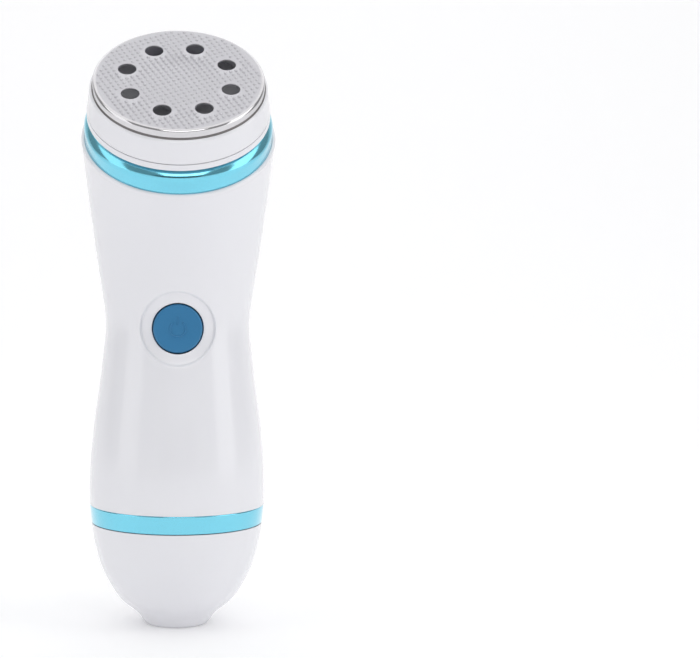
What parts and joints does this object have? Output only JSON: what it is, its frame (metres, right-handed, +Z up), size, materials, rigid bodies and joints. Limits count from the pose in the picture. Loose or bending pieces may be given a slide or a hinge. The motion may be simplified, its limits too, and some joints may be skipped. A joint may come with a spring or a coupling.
{
  "type": "electric callus remover",
  "caption": "Hand-held battery callus remover: waisted handle with push button and pull-off cap, neck leaning forward to a spinning rasp head that pulls off.",
  "frame": {"origin": "centre of the flat foot at the cap's tip", "axes": "+Z up along the handle's axis, -Y towards the face with the button, +X to the right of a person facing the button"},
  "size_m": [0.0472, 0.0601, 0.1488],
  "materials": {
    "shell_white": "glossy",
    "blue_chrome": "vacuum-plated blue chrome",
    "button_blue": "satin",
    "rasp_steel": "satin",
    "nickel": "polished",
    "steel": "satin",
    "motor_steel": "drawn steel, satin",
    "rubber_black": "matte",
    "cell_wrap": "printed sleeve, satin",
    "board_green": "satin",
    "black_plastic": "satin",
    "grey_plastic": "satin",
    "gear_plastic": "satin",
    "bronze": "satin",
    "lead_red": "satin",
    "lead_black": "satin"
  },
  "bodies": {
    "handle": {"front_shell": "shell_white", "rear_shell": "shell_white", "top_ring": "blue_chrome", "lower_band": "blue_chrome", "battery_holder": "shell_white", "neck_o_ring": "rubber_black", "positive_contact": "nickel", "negative_contact": "nickel", "negative_contact_spring": "nickel", "switch_body": "black_plastic", "circuit_board": "board_green", "controller_chip": "black_plastic", "board_screws": "steel", "motor_can": "motor_steel", "motor_end_cap": "black_plastic", "motor_terminals": "bronze", "gearbox_housing": "grey_plastic", "motor_screws": "steel", "idler_pin": "steel", "deck_plate": "shell_white", "deck_screws": "steel", "shaft_bush": "bronze", "positive_battery_lead": "lead_red", "negative_battery_lead": "lead_black", "positive_motor_lead": "lead_red", "negative_motor_lead": "lead_black"},
    "spindle": {"drive_shaft": "steel", "output_gear": "gear_plastic", "carrier": "shell_white"},
    "rasp_head": {"head_cup": "shell_white", "rasp_disc": "rasp_steel"},
    "idler": {"idler_gear": "gear_plastic"},
    "motor_rotor": {"motor_shaft": "steel", "motor_pinion": "bronze"},
    "button": {"power_button": "button_blue", "switch_plunger": "black_plastic"},
    "cap": {"battery_cap": "shell_white", "cap_contact_plate": "nickel", "cap_contact_spring": "nickel"},
    "left_cell": {"cell_left": "cell_wrap"},
    "right_cell": {"cell_right": "cell_wrap"}
  },
  "joints": [
    {"name": "head_spin", "type": "hinge", "parent": "handle", "child": "spindle", "pos_m": [0, -0.0118, 0.12306], "axis": [0, -0.6018, 0.7986], "continuous": true},
    {"name": "idler_spin", "type": "hinge", "parent": "handle", "child": "idler", "pos_m": [0.00826, -0.01698, 0.11916], "axis": [0, -0.6018, 0.7986], "continuous": true},
    {"name": "motor_spin", "type": "hinge", "parent": "handle", "child": "motor_rotor", "pos_m": [0, -0.01859, 0.11794], "axis": [0, -0.6018, 0.7986], "continuous": true},
    {"name": "head_pull", "type": "slide", "parent": "spindle", "child": "rasp_head", "axis": [0, -0.6018, 0.7986], "range_m": [0, 0.018]},
    {"name": "button_press", "type": "slide", "parent": "handle", "child": "button", "axis": [0, 1, 0], "range_m": [0, 0.0006], "stiffness_N_per_m": 900},
    {"name": "cap_pull", "type": "slide", "parent": "handle", "child": "cap", "axis": [0, 0, -1], "range_m": [0, 0.09]},
    {"name": "left_cell_slide", "type": "slide", "parent": "handle", "child": "left_cell", "axis": [0, 0, -1], "range_m": [0, 0.045]},
    {"name": "right_cell_slide", "type": "slide", "parent": "handle", "child": "right_cell", "axis": [0, 0, -1], "range_m": [0, 0.045]}
  ],
  "couplings": [
    {"joint": "idler_spin", "follows": "head_spin", "ratio": -2.5},
    {"joint": "motor_spin", "follows": "head_spin", "ratio": 6},
    {"joint": "left_cell_slide", "follows": "cap_pull", "ratio": 0.5},
    {"joint": "right_cell_slide", "follows": "cap_pull", "ratio": 0.5}
  ]
}
